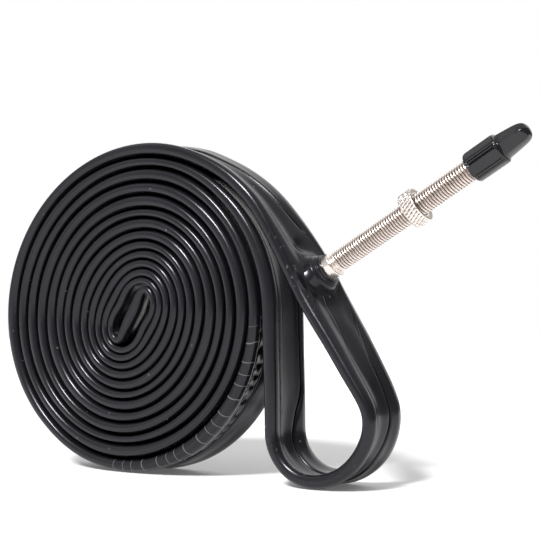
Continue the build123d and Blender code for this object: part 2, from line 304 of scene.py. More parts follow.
def outer_face(y, i, bead_i, waist, flat_edge):
    """Distance of the outer face from the middle, and how much painted shade lies in its tucks."""
    s, yc = rel[i], outer_crease_y[i]
    out = half_thickness(y, bead_i, waist) + rear_closing(y, i)
    out -= outer_crease[i] * bump(y - yc, CREASE_WIDTH)
    across = (y - yc) / max(1.0, flat_edge - yc)
    out += rear_lobe[i] * np.where(across > 0, np.sin(np.pi * np.clip(across, 0, 1)) ** 0.7, 0)
    front = (y + flat_edge - 0.8) / max(1.0, yc + flat_edge - 0.8)
    out -= front_hollow[i] * np.where((front > 0) & (front < 1), np.sin(np.pi * np.clip(front, 0, 1)) ** 2, 0)
    painted_tuck_shade = np.zeros(len(y))
    if abs(s) < FOOT_REACH:
        # the face is crowned over the valve's foot, with a hollow on either side
        out += 1.45 * np.exp(-((s / 5.2) ** 2 + (y / 5.0) ** 2))
        out -= 1.1 * np.exp(-(((s + 10.2) / 2.2) ** 2 + ((y - 0.6) / 1.9) ** 2))
        out -= 0.5 * np.exp(-(((s - 9.5) / 3.0) ** 2 + ((y + 1.0) / 2.4) ** 2))
    if pleat_zone[i] > 0.01:
        # gathered rubber between the bead and the crease: a sharp tuck, then a soft swelling
        u = (pleat_turn(s) + 0.06 * y) % 1.0
        band = smoothstep((y + flat_edge - 0.3) / 0.9) * smoothstep((yc - 0.2 - y) / 1.2)
        tuck = band * pleat_zone[i] * np.exp(-(((u - 0.5) / 0.10) ** 2))
        swell = band * np.sin(np.pi * (u - 0.5)) ** 2
        out += pleat_zone[i] * PLEAT_SWELL * swell - PLEAT_TUCK * tuck
        # the tuck's mask is kept for the painted shade laid in it
        painted_tuck_shade = tuck
    return out, painted_tuck_shade


def inner_face(y, i, bead_i, waist, flat_edge):
    """Distance of the inner face from the middle, with its own crease, lobe and hollow."""
    out = half_thickness(y, bead_i, waist) + rear_closing(y, i)
    yc = inner_crease_y[i]
    out -= inner_crease[i] * bump(y - yc, CREASE_WIDTH)
    behind = (y - yc) / max(1.0, flat_edge - yc)
    lobe = np.where(behind > 0, np.sin(np.pi * np.clip(behind, 0, 1)) ** 0.7, 0)
    out += 0.3 * inner_crease[i] * lobe
    front = (y + flat_edge - 0.8) / max(1.0, yc + flat_edge - 0.8)
    inside = (front > 0) & (front < 1)
    return out - 0.45 * inner_crease[i] * np.where(inside, np.sin(np.pi * np.clip(front, 0, 1)) ** 2, 0)


def section(i):
    """Outline at fine step i: distance across, distance out of the outer face, and its marks."""
    bead_i = bead[i]
    radius = bead_i / 2
    waist = min(WAIST, bead_i * 0.75)
    flat_edge = TUBE_WIDTH / 2 - radius
    y_out = side_positions(flat_edge, outer_crease_y[i])
    y_in = side_positions(flat_edge, inner_crease_y[i])
    out, painted_tuck_shade = outer_face(y_out, i, bead_i, waist, flat_edge)
    under = inner_face(y_in, i, bead_i, waist, flat_edge)

    # rounded ends, a little squarer than a circle so that their shoulders catch the light
    angle = np.linspace(0, np.pi / 2, END_STEPS + 2)[1:-1]
    square = 2 / 2.3
    reach, rise = radius * np.cos(angle) ** square, radius * np.sin(angle) ** square
    back_rise = rise * (1 + rear_closing(flat_edge, i) / radius)
    ys = np.concatenate([[-flat_edge - radius], -flat_edge - reach, y_out, (flat_edge + reach)[::-1],
                         [flat_edge + radius], flat_edge + reach, y_in[::-1], (-flat_edge - reach)[::-1]])
    ns = np.concatenate([[0], rise, out, back_rise[::-1], [0], -back_rise, -under[::-1], -rise[::-1]])

    # marks for the material, which place its painted shade and painted highlights: distances from the crease
    # and the parting line, and the arc count
    far = np.full(END_STEPS, FAR_MARK)
    line_out = max(outer_line_y[i], 0.2 - flat_edge)
    line_in = max(inner_line_y[i], 0.2 - flat_edge)
    crease_at = np.concatenate([[-FAR_MARK], -far, y_out - outer_crease_y[i], far, [FAR_MARK], far,
                                (y_in - inner_crease_y[i])[::-1], -far])
    shoulder = np.linspace(-radius * 1.4, -radius * 0.2, END_STEPS) - flat_edge
    line_at = np.concatenate([[-FAR_MARK], shoulder - line_out, y_out - line_out, far, [FAR_MARK], far,
                              (y_in - line_in)[::-1], (shoulder - line_in)[::-1]])
    none = np.zeros(END_STEPS)
    depth = np.concatenate([[0], none, np.full(SIDE_COUNT, outer_crease[i]), none, [0], none,
                            np.full(SIDE_COUNT, inner_crease[i]), none])
    lean, curve = ARC_LEAN * np.sin(angle), ARC_LEAN * np.sin(angle) ** 2
    turn = pleat_turn(rel[i])
    elsewhere = np.full(2 * (SIDE_COUNT + END_STEPS) + 1, 2 * ARC_LEAN)
    arc_turn = np.concatenate([[0], curve + lean, elsewhere, (curve - lean)[::-1]]) + turn
    fading = np.clip((-flat_edge + 0.9 - y_out) / 0.6, 0, 1)
    arc_here = np.concatenate([[1], np.ones(END_STEPS), fading,
                               np.zeros(2 * END_STEPS + 1 + SIDE_COUNT), np.ones(END_STEPS)]) * arc_zone[i]
    # painted shade in the tucks, on the outer face only
    tucks = np.concatenate([[0], none, painted_tuck_shade, none, [0], none, np.zeros(SIDE_COUNT), none])

    # the front edge hangs back where the stiff valve foot crowns the tube
    bent = smoothstep((1.5 - ys) / 10.2)
    ns = ns - front_drop[i] * bent
    ys = ys + front_in[i] * bent
    marks = {"crease_at": crease_at, "crease_depth": depth, "line_at": line_at,
             "painted_line_highlight": np.full(len(ys), painted_line_highlight[i]), "arc_turn": arc_turn, "arc_here": arc_here,
             "painted_tuck_shade": tucks}
    return ys, ns, marks


def section_points(i):
    """The outline at fine step i as points in space, and its marks."""
    ys, ns, marks = section(i)
    out_x, out_z = -gone_z[i], gone_x[i]
    points = np.stack([path_x[i] + out_x * ns, ys, path_z[i] + out_z * ns], axis=1)
    points[:, 2] = np.maximum(points[:, 2], 0.0)    # flat where it rests on the floor
    return points, marks


def closed_ends(mesh, columns):
    """Close both ends of a swept mesh with sharp-edged faces, and turn every face outwards."""
    bm = bmesh.new()
    bm.from_mesh(mesh)
    bm.verts.ensure_lookup_table()
    ends = [bm.faces.new(bm.verts[:columns]), bm.faces.new(bm.verts[-columns:])]
    for face in ends:
        for edge in face.edges:
            edge.smooth = False
    bmesh.ops.recalc_face_normals(bm, faces=bm.faces)
    bm.to_mesh(mesh)
    bm.free()
    return mesh


def new_object(name, mesh, material, body="inner_tube", replaces=(), sharp=None):
    """Put a mesh on its body; edges bent by more than sharp degrees stay sharp."""
    if sharp is not None:
        bm = bmesh.new()
        bm.from_mesh(mesh)
        bmesh.ops.remove_doubles(bm, verts=bm.verts, dist=2e-7)
        bmesh.ops.dissolve_degenerate(bm, edges=bm.edges, dist=1e-7)
        bmesh.ops.recalc_face_normals(bm, faces=bm.faces)
        for edge in bm.edges:
            edge.smooth = edge.calc_face_angle(0.0) < math.radians(sharp)
        bm.to_mesh(mesh)
        bm.free()
    for polygon in mesh.polygons:
        polygon.use_smooth = True
    obj = bpy.data.objects.new(name, mesh)
    bpy.context.scene.collection.objects.link(obj)
    mesh.materials.append(material)
    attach(obj, body)
    if replaces:
        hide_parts(*replaces)
    return obj


def grid_mesh(name, points, wrap_rows=False, wrap_columns=True, attributes=None):
    """A mesh from a rows x columns grid of points in millimetres."""
    rows_n, columns_n = points.shape[:2]
    index = np.arange(rows_n * columns_n).reshape(rows_n, columns_n)
    below = np.roll(index, -1, axis=0) if wrap_rows else index[1:]
    here = index if wrap_rows else index[:-1]
    if wrap_columns:
        quads = np.stack([here, np.roll(here, -1, 1), np.roll(below, -1, 1), below], axis=-1)
    else:
        quads = np.stack([here[:, :-1], here[:, 1:], below[:, 1:], below[:, :-1]], axis=-1)
    mesh = bpy.data.meshes.new(name)
    mesh.from_pydata((points.reshape(-1, 3) * MM).tolist(), [], quads.reshape(-1, 4).tolist())
    for key, values in (attributes or {}).items():
        layer = mesh.attributes.new(key, "FLOAT", "POINT")
        layer.data.foreach_set("value", np.ascontiguousarray(values, dtype=np.float32).ravel())
    mesh.validate()
    mesh.update()
    return mesh


# ---------------------------------------------------------------- materials
def nodes_of(name):
    """A new material, with the parts that its maker works on."""
    material = bpy.data.materials.new(name)
    material.use_nodes = True
    tree = material.node_tree
    return material, tree, tree.nodes, tree.links, tree.nodes["Principled BSDF"]


NOISE_ROUGHNESS = 0.55


def noise(tree, scale, detail):
    """Noise fixed to the object, with scale cells to the metre."""
    coords = tree.nodes.new("ShaderNodeTexCoord")
    texture = tree.nodes.new("ShaderNodeTexNoise")
    texture.inputs["Scale"].default_value = scale
    texture.inputs["Detail"].default_value = detail
    texture.inputs["Roughness"].default_value = NOISE_ROUGHNESS
    tree.links.new(coords.outputs["Object"], texture.inputs["Vector"])
    return texture.outputs["Fac"]


def ramp(tree, value, stops):
    """A colour ramp; each stop is a position and a colour of one value or three."""
    node = tree.nodes.new("ShaderNodeValToRGB")
    elements = node.color_ramp.elements
    while len(elements) < len(stops):
        elements.new(0.5)
    for element, (at, colour) in zip(elements, stops):
        element.position = at
        element.color = (*colour, 1) if len(colour) == 3 else (colour[0],) * 3 + (1,)
    tree.links.new(value, node.inputs["Fac"])
    return node.outputs["Color"]


def mixed(tree, factor, first, second):
    """A blend of two colours, each a link or a plain colour."""
    node = tree.nodes.new("ShaderNodeMix")
    node.data_type = "RGBA"
    # a Mix node has a set of sockets for each kind of data: 0, 6, 7 and 2 are those of its colours
    for key, value in ((6, first), (7, second)):
        if isinstance(value, tuple):
            node.inputs[key].default_value = (*value, 1)
        else:
            tree.links.new(value, node.inputs[key])
    tree.links.new(factor, node.inputs[0])
    return node.outputs[2]


def maths(tree, kind, a, b=0.0):
    """One sum on links or numbers."""
    node = tree.nodes.new("ShaderNodeMath")
    node.operation = kind
    for i, value in enumerate((a, b)):
        if isinstance(value, (int, float)):
            node.inputs[i].default_value = value
        else:
            tree.links.new(value, node.inputs[i])
    return node.outputs[0]


def bumped(tree, shader, height, strength, distance):
    """Give a shader relief from a height; the distance is in metres."""
    node = tree.nodes.new("ShaderNodeBump")
    node.inputs["Strength"].default_value = strength
    node.inputs["Distance"].default_value = distance
    tree.links.new(height, node.inputs["Height"])
    tree.links.new(node.outputs["Normal"], shader.inputs["Normal"])


def attribute(tree, name):
    """A value that the mesh carries at each vertex."""
    node = tree.nodes.new("ShaderNodeAttribute")
    node.attribute_name = name
    return node.outputs["Fac"]


RUBBER_DARK, RUBBER_LIGHT = (0.0058, 0.0057, 0.0072), (0.0100, 0.0098, 0.0120)
# light grey for dust, also used for the painted highlight on streaks and arcs, and the grey of the painted
# highlight on the parting line
DUST_AND_HIGHLIGHT_GREY, LINE_HIGHLIGHT_GREY = (0.20, 0.195, 0.20), (0.36, 0.35, 0.36)
# the near black painted as shade into creases, tucks and the groove beside the parting line
CREASE_SHADE_BLACK = (0.002, 0.002, 0.0022)
RUBBER_SPECULAR, CREASE_DULLING = 0.36, 0.33
RUBBER_TINT = (0.95, 0.93, 1.0, 1)
DUST_SCALE, DUST_THRESHOLD = 330, 0.80


def rubber_material():
    """Satin black butyl with dust, thin streaks and arcs painted light as highlight, parting lines with a
    painted highlight, painted shade in creases and tucks, and a fine leathery grain.
    """
    material, tree, nodes, links, shader = nodes_of("butyl_rubber_satin")
    cloudy = noise(tree, 55, 4)
    base = ramp(tree, cloudy, [(0.3, RUBBER_DARK), (0.75, RUBBER_LIGHT)])
    # dust: a few small specks
    coords = nodes.new("ShaderNodeTexCoord")
    specks = nodes.new("ShaderNodeTexVoronoi")
    specks.inputs["Scale"].default_value = DUST_SCALE
    specks.inputs["Randomness"].default_value = 1.0
    links.new(coords.outputs["Object"], specks.inputs["Vector"])
    small = ramp(tree, specks.outputs["Distance"], [(0.05, (1,)), (0.12, (0,))])
    chosen = nodes.new("ShaderNodeSeparateColor")
    links.new(specks.outputs["Color"], chosen.inputs["Color"])
    few = maths(tree, "GREATER_THAN", chosen.outputs["Red"], DUST_THRESHOLD)
    dust = maths(tree, "MULTIPLY", small, few)
    # thin light streaks, painted highlight
    thin = ramp(tree, noise(tree, 900, 2), [(0.65, (0,)), (0.73, (0.6,))])
    streak_highlight = maths(tree, "MULTIPLY", attribute(tree, "painted_streak_highlight"), thin)
    # thin arcs across the front bead, raised and painted light as highlight
    part = maths(tree, "FRACT", attribute(tree, "arc_turn"))
    off_arc = maths(tree, "ABSOLUTE", maths(tree, "SUBTRACT", part, 0.5))
    on_arc = ramp(tree, off_arc, [(0.012, (1,)), (0.040, (0,))])
    arc = maths(tree, "MULTIPLY", on_arc, attribute(tree, "arc_here"))
    # the parting line: a fine ridge with a painted highlight, and a groove beside it with painted shade
    line_at = attribute(tree, "line_at")
    ridge = ramp(tree, maths(tree, "ABSOLUTE", line_at), [(0.06, (1,)), (0.17, (0,))])
    beside = maths(tree, "ABSOLUTE", maths(tree, "SUBTRACT", line_at, 0.34))
    groove = ramp(tree, beside, [(0.06, (1,)), (0.18, (0,))])
    painted_ridge_highlight = maths(tree, "MULTIPLY", ridge, attribute(tree, "painted_line_highlight"))
    # dust specks, and the streaks and arcs painted light as highlight
    marks = maths(tree, "MAXIMUM", maths(tree, "MAXIMUM", dust, streak_highlight), arc)
    colour = mixed(tree, maths(tree, "MULTIPLY", marks, 0.60), base, DUST_AND_HIGHLIGHT_GREY)
    # painted highlight along the parting line
    colour = mixed(tree, painted_ridge_highlight, colour, LINE_HIGHLIGHT_GREY)
    # painted shade: creases, tucks and the groove beside the parting line are painted near black and made
    # less glossy
    off_crease = maths(tree, "ABSOLUTE", attribute(tree, "crease_at"))
    near = ramp(tree, off_crease, [(0.10, (1,)), (0.55, (0,))])
    crease = maths(tree, "MULTIPLY", near, attribute(tree, "crease_depth"))
    crease = maths(tree, "MINIMUM", crease, 1.0)
    dark = maths(tree, "MAXIMUM", crease, maths(tree, "MAXIMUM", attribute(tree, "painted_tuck_shade"), groove))
    links.new(mixed(tree, dark, colour, CREASE_SHADE_BLACK), shader.inputs["Base Color"])
    gloss = maths(tree, "SUBTRACT", RUBBER_SPECULAR, maths(tree, "MULTIPLY", dark, CREASE_DULLING))
    links.new(gloss, shader.inputs["Specular IOR Level"])
    shader.inputs["Specular Tint"].default_value = RUBBER_TINT
    rough = ramp(tree, noise(tree, 160, 5), [(0.25, (0.19,)), (0.8, (0.28,))])
    links.new(rough, shader.inputs["Roughness"])
    fine_grain = maths(tree, "MULTIPLY", noise(tree, 2600, 3), 0.4)
    grain = maths(tree, "ADD", fine_grain, noise(tree, 380, 4))
    raised = maths(tree, "SUBTRACT", maths(tree, "MAXIMUM", marks, ridge), groove)
    relief = maths(tree, "ADD", grain, maths(tree, "MULTIPLY", raised, 1.2))
    bumped(tree, shader, relief, 0.22, 0.00003)
    return material


# painted shade at the roots of threads and knurls: how much darker and how much warmer
ROOT_SHADE_DIMMING = 0.42
ROOT_SHADE_WARMTH = (1.0, 0.92, 0.85)


def metal_material(name, light, dark, rough_low, rough_high):
    """Bare or plated metal, with painted shade, darker and warmer, at the roots of threads and knurls."""
    material, tree, nodes, links, shader = nodes_of(name)
    shader.inputs["Metallic"].default_value = 1.0
    stain = noise(tree, 420, 4)
    # painted shade at the roots
    deep = ramp(tree, attribute(tree, "painted_root_shade"), [(0.45, (0,)), (0.95, (1,))])
    clean = ramp(tree, stain, [(0.35, dark), (0.65, light)])
    at_root = tuple(ROOT_SHADE_DIMMING * c * k for c, k in zip(dark, ROOT_SHADE_WARMTH))
    links.new(mixed(tree, deep, clean, at_root), shader.inputs["Base Color"])
    links.new(ramp(tree, noise(tree, 1500, 3), [(0.3, (rough_low,)), (0.75, (rough_high,))]),
              shader.inputs["Roughness"])
    bumped(tree, shader, noise(tree, 2400, 2), 0.08, 0.000002)
    return material


def plastic_material(name, low, high, rough_low, rough_high):
    """Moulded plastic or solid rubber, with a slight grain."""
    material, tree, nodes, links, shader = nodes_of(name)
    links.new(ramp(tree, noise(tree, 180, 3), [(0.3, low), (0.75, high)]), shader.inputs["Base Color"])
    links.new(ramp(tree, noise(tree, 700, 3), [(0.3, (rough_low,)), (0.8, (rough_high,))]),
              shader.inputs["Roughness"])
    bumped(tree, shader, noise(tree, 2200, 2), 0.08, 0.000003)
    return material


rubber = rubber_material()
nickel = metal_material("nickel_plate_bright", (0.86, 0.79, 0.75), (0.74, 0.67, 0.63), 0.24, 0.34)
brass = metal_material("brass_machined", (0.86, 0.62, 0.30), (0.68, 0.47, 0.21), 0.20, 0.34)
plastic = plastic_material("cap_plastic_gloss", (0.005, 0.005, 0.0065), (0.009, 0.009, 0.0115), 0.10, 0.17)
seal = plastic_material("seal_rubber_matt", (0.035, 0.035, 0.036), (0.060, 0.060, 0.062), 0.55, 0.72)

# ---------------------------------------------------------------- the tube itself
LOOP_BEGIN, LOOP_END = -292.0, 178.0    # where the loop's piece meets the roll's, from the valve


def stations(begin, end, spacing):
    """Fine-step numbers from begin to end along the ring, spaced as spacing(index) says."""
    first = int(round((begin / LENGTH) * COUNT)) + valve_index
    last = int(round((end / LENGTH) * COUNT)) + valve_index
    picked, at = [first], float(first)
    while True:
        at += spacing(int(at) % COUNT) / FINE_STEP
        if at >= last - 1:
            break
        picked.append(int(at))
    picked.append(last)
    return [p % COUNT for p in picked]


def loop_spacing(i):
    """Millimetres between sections of the loop: closest where it is pleated."""
    s = rel[i]
    if pleat_zone[i] > 0.01:
        return 0.36
    if arc_zone[i] > 0.01:
        return 0.7
    if -40 < s < 24:
        return 0.5
    return 0.75 if s > 0 else 1.0


def roll_spacing(i):
    """Millimetres between sections of the roll: closest near its middle."""
    away = math.hypot(path_x[i] - ROLL_X, path_z[i] - ROLL_Z)
    return min(2.5, max(0.5, away * 0.075))


def tube_mesh(name, numbers):
    """A length of the tube through the numbered fine steps."""
    both = [section_points(i) for i in numbers]
    points = np.array([b[0] for b in both])
    marks = {key: np.array([b[1][key] for b in both]) for key in both[0][1]}
    s = rel[numbers][:, None]
    y = points[:, :, 1]
    # thin light streaks painted as highlight on the front bead, beside the valve and at the bottom of the
    # loop
    on_front = np.clip((-5.0 - y) / 1.5, 0, 1)
    beside_valve = np.exp(-(((s + 2) / 13) ** 2))
    bottom = np.exp(-(((s - 72) / 16) ** 2))
    marks["painted_streak_highlight"] = on_front * np.clip(beside_valve + bottom * 0.8, 0, 1)
    mesh = grid_mesh(name, points, attributes=marks)
    return closed_ends(mesh, points.shape[1])


loop_numbers = stations(LOOP_BEGIN, LOOP_END, loop_spacing)
roll_numbers = stations(LOOP_END, LENGTH + LOOP_BEGIN, roll_spacing)
new_object("tube_loop_rubber", tube_mesh("tube_loop_rubber", loop_numbers), rubber,
           replaces=("tube_loop",))
new_object("tube_roll_rubber", tube_mesh("tube_roll_rubber", roll_numbers), rubber,
           replaces=("tube_coil",))


# ---------------------------------------------------------------- round parts on the valve axis
def on_axis(t, radius, angle):
    """A point at distance t along the valve axis, all in arrays."""
    t, radius, angle = np.broadcast_arrays(t, radius, angle)
    out = VALVE_START + t[..., None] * VALVE_DIRECTION
    out = out + (radius * np.cos(angle))[..., None] * VALVE_SIDE
    return out + (radius * np.sin(angle))[..., None] * VALVE_UP


FILLET_STEPS = 4


def rounded(corners, closed_outline=True):
    """Outline (t, radius) with each corner (t, radius, fillet) rounded."""
    out = []
    for i, (t, radius, fillet) in enumerate(corners):
        p = np.array([t, radius], float)
        end = not closed_outline and i in (0, len(corners) - 1)
        if fillet <= 0 or end:
            out.append(p)
            continue
        before = np.array(corners[i - 1][:2]) - p
        after = np.array(corners[(i + 1) % len(corners)][:2]) - p
        cut = min(fillet, np.linalg.norm(before) * 0.48, np.linalg.norm(after) * 0.48)
        a, b = p + unit(before) * cut, p + unit(after) * cut
        for k in range(FILLET_STEPS + 1):
            u = k / FILLET_STEPS
            out.append(a * (1 - u) ** 2 + p * 2 * u * (1 - u) + b * u * u)
    return np.array(out)


def turned_grid(outline, segments):
    """Distance, radius and angle of every point of an outline turned round the axis."""
    angle = np.arange(segments) * 2 * np.pi / segments
    t = np.repeat(outline[:, :1], segments, axis=1)
    radius = np.repeat(outline[:, 1:2], segments, axis=1)
    return t, radius, np.repeat(angle[None, :], len(outline), axis=0)


THREAD_FORM = (0.0, 0.06, 0.36, 0.80, 1.0, 0.94, 0.72, 0.30)   # from root to crest over one pitch
THREAD_FADE = 0.7          # the length over which a thread fades out at each end


def threaded_mesh(name, outline, begin, end, root, crest, pitch, segments):
    """A closed solid whose outline runs from the thread's end round to its start, plus the helix."""
    steps = len(THREAD_FORM)
    k = np.arange(int(math.ceil((end - begin + pitch) / (pitch / steps))) + 1)[:, None]
    j = np.arange(segments + 1)[None, :]
    t = np.clip(begin - pitch + k * pitch / steps + pitch * j / segments, begin, end)
    form = np.array(THREAD_FORM)[k % steps]
    fade = np.clip((t - begin) / THREAD_FADE, 0, 1) * np.clip((end - t) / THREAD_FADE, 0, 1)
    helix = on_axis(t, root + (crest - root) * form * fade, 2 * np.pi * j / segments)
    turns = np.repeat((np.arange(segments + 1) * 2 * np.pi / segments)[None, :], len(outline), axis=0)
    plain = on_axis(outline[:, :1], outline[:, 1:2], turns)
    # painted shade in the thread's roots, fading out with the thread
    painted_shade_mask = (1 - form * np.ones_like(t)) * fade
    a = grid_mesh(name, helix, wrap_columns=False, attributes={"painted_root_shade": painted_shade_mask})
    unmarked = {"painted_root_shade": np.zeros(plain.shape[:2])}
    b = grid_mesh(name + "_plain", plain, wrap_columns=False, attributes=unmarked)
    bm = bmesh.new()
    bm.from_mesh(a)
    bm.from_mesh(b)
    bm.to_mesh(a)
    bm.free()
    bpy.data.meshes.remove(b)
    return a


# the rubber boss and its two rings, bonded to the tube
BOSS_SEGMENTS = 72
BOSS_TOP, BOSS_EDGE = 4.3, 7.3     # radii of the skirt
RING_RADIUS, RING_SEAT = 4.9, -5.9
BOSS_THICKNESS = 1.2
BOSS_SAMPLE, BOSS_SAMPLE_REACH = 0.5, 12
ring_outline = rounded([
    (-6.6, 3.28, 0), (-6.6, 5.6, 0.4), (-5.75, 4.95, 0.5), (-5.55, 4.5, 0.15), (-4.95, 4.5, 0.2),
    (-4.92, 4.15, 0.06), (-4.2, 4.15, 0.22), (-4.2, 3.28, 0),
])


def boss_grid():
    """The boss's skirt runs out from the rings and sinks into the tube's crowned face."""
    reach = np.linspace(BOSS_TOP, BOSS_EDGE, 14)
    angle = np.arange(BOSS_SEGMENTS) * 2 * np.pi / BOSS_SEGMENTS
    grid = []
    for s in np.arange(-BOSS_SAMPLE_REACH, BOSS_SAMPLE_REACH + 0.01, BOSS_SAMPLE):
        i = (valve_index + int(round(s / FINE_STEP))) % COUNT
        points, marks = section_points(i)
        offset = points[1 + END_STEPS:1 + END_STEPS + SIDE_COUNT] - VALVE_START
        grid.append((offset @ VALVE_UP, offset @ VALVE_SIDE, offset @ VALVE_DIRECTION))
    ups = np.array([g[0].mean() for g in grid])
    order = np.argsort(ups)
    out = np.zeros((len(reach), len(angle), 3))
    for a, r in enumerate(reach):
        for b, turn in enumerate(angle):
            side, up = r * math.cos(turn), r * math.sin(turn)
            heights = np.array([np.interp(side, g[1], g[2]) for g in grid])
            face = np.interp(up, ups[order], heights[order])
            lift = 0.5 * (1 - smoothstep((r - BOSS_TOP) / 2.5)) - 0.20 * smoothstep((r - 6.0) / 1.3)
            t = face + lift
            if r < RING_RADIUS:
                t = max(t, RING_SEAT)
            out[a, b] = VALVE_START + side * VALVE_SIDE + up * VALVE_UP + t * VALVE_DIRECTION
    return out


boss_points = boss_grid()
buried = boss_points[::-1] - BOSS_THICKNESS * VALVE_DIRECTION
boss = grid_mesh("valve_boss", np.concatenate([boss_points, buried]), wrap_rows=True)
rings = grid_mesh("valve_rings", on_axis(*turned_grid(ring_outline, BOSS_SEGMENTS)), wrap_rows=True)
bm = bmesh.new()
bm.from_mesh(boss)
bm.from_mesh(rings)
bm.to_mesh(boss)
bm.free()
new_object("valve_boss_rubber", boss, rubber, replaces=("valve_patch",), sharp=50)

# the stem: plain collar, relief groove, 6 mm thread, and the bore that holds the core
STEM_ROOT, STEM_CREST, STEM_PITCH = 2.50, 3.0, 0.794
STEM_BEGIN, STEM_END = -1.25, 44.6
stem_outline = rounded([
    (STEM_END, STEM_ROOT, 0), (45.0, 2.42, 0.05), (45.0, 2.12, 0.1), (38.6, 2.12, 0.1), (38.6, 1.6, 0),
    (-6.9, 1.6, 0), (-6.9, 4.1, 0), (-6.2, 4.1, 0), (-6.2, 3.3, 0), (-4.2, 3.3, 0), (-4.2, 3.6, 0.12),
    (-1.95, 3.6, 0.35), (-1.95, 2.56, 0.1), (STEM_BEGIN, STEM_ROOT, 0),
], closed_outline=False)
stem = threaded_mesh("valve_stem_nickel", stem_outline, STEM_BEGIN, STEM_END,
                     STEM_ROOT, STEM_CREST, STEM_PITCH, 56)
new_object("valve_stem_nickel", stem, nickel, replaces=("valve_stem",), sharp=62)

# the knurled nut
KNURLS = 30
KNURL_LEAN = 0.42          # how far a knurl turns, in knurls to the millimetre
KNURL_DEPTH, KNURL_CROSS_DEPTH = 0.34, 0.14
NUT_BEGIN, NUT_MIDDLE, NUT_END = 23.1, 25.1, 27.1
NUT_RADIUS, NUT_BORE = 4.9, 3.06


def knurl(t, radius, angle):
    """Radius of the nut with a deep set of slanted grooves and a faint set across them."""
    turn, lean = angle * KNURLS / (2 * np.pi), (t - NUT_MIDDLE) * KNURL_LEAN
    wave = np.abs(((turn + lean) % 1.0) - 0.5) * 2
    other = np.abs(((turn - lean) % 1.0) - 0.5) * 2
    on_rim = np.clip((radius - 4.35) / 0.4, 0, 1)
    ends = np.clip((t - 23.2) / 0.4, 0, 1) * np.clip((27.0 - t) / 0.35, 0, 1)
    cut = KNURL_DEPTH * np.clip(wave * 1.7 - 0.7, 0, 1)
    cut = cut + KNURL_CROSS_DEPTH * np.clip(other * 2 - 1, 0, 1)
    return radius - on_rim * ends * cut


def nut_mesh():
    """The nut, with painted shade in its grooves and a painted dark reflection on the end that faces the cap.
    """
    outline = list(rounded([
        (NUT_BEGIN, NUT_BORE, 0.12), (NUT_BEGIN, 4.55, 0.15), (23.45, NUT_RADIUS, 0.15),
    ], closed_outline=False))
    outline += [np.array([t, NUT_RADIUS]) for t in np.linspace(23.6, 26.6, 22)]
    outline += list(rounded([
        (26.75, NUT_RADIUS, 0), (NUT_END, 4.66, 0.12), (NUT_END, 3.75, 0.08), (26.75, 3.6, 0.08),
        (26.75, 3.2, 0.1), (26.15, NUT_BORE, 0),
    ], closed_outline=False))
    t, radius, turns = turned_grid(np.array(outline), KNURLS * 8)
    shaped = knurl(t, radius, turns)
    # painted shade in the knurls' grooves
    painted_shade_mask = np.clip((radius - shaped) / KNURL_DEPTH, 0, 1)
    # a painted dark reflection on the end that faces the cap
    painted_shade_mask[(t > 27.0) & (radius < 4.62)] = 0.95
    points = on_axis(t, shaped, turns)
    return grid_mesh("rim_nut_nickel", points, wrap_rows=True, attributes={"painted_root_shade": painted_shade_mask})


new_object("rim_nut_nickel", nut_mesh(), nickel, "rim_nut", ("rim_nut",), sharp=60)

# the dust cap: a grip of broad panels between pairs of grooves, then a tapered tip with flat facets
FACETS = 6
CAP_RADIUS, CAP_BORE = 4.12, 3.10
GROOVE_DEPTH, GROOVE_WIDTH, GROOVE_OFFSET = 0.50, 0.05, 0.11   # width and offset in facets
TIP_BEGIN = 52.3


def cap_shape(t, radius, angle):
    """Outer radius of the cap, with its grooves and facets cut."""
    outside = np.where((radius > 2.3) | (t > 59.2), 1.0, 0.0)
    turn = (angle / (2 * np.pi) * FACETS + 0.08) % 1.0
    centre = np.abs(turn - 0.5) * 2
    grip = np.clip((t - 43.35) / 0.45, 0, 1) * np.clip((51.75 - t) / 0.3, 0, 1)
    groove = bump(turn - GROOVE_OFFSET, GROOVE_WIDTH) + bump(turn - (1 - GROOVE_OFFSET), GROOVE_WIDTH)
    shape = GROOVE_DEPTH * groove + 0.10 * np.clip(1 - centre / 0.62, 0, 1)
    is_grip = np.clip((radius - 3.62) / 0.2, 0, 1)
    out = radius - is_grip * grip * shape
    tip = np.clip((t - TIP_BEGIN) / 0.5, 0, 1) * outside
    local = (turn - 0.5) * 2 * np.pi / FACETS
    apothem = radius * math.cos(math.pi / FACETS) / np.cos(local)
    flat = radius * 0.30 + apothem * 0.70
    return np.where(is_grip > 0, out, out * (1 - tip) + np.maximum(flat, radius * 0.86) * tip)


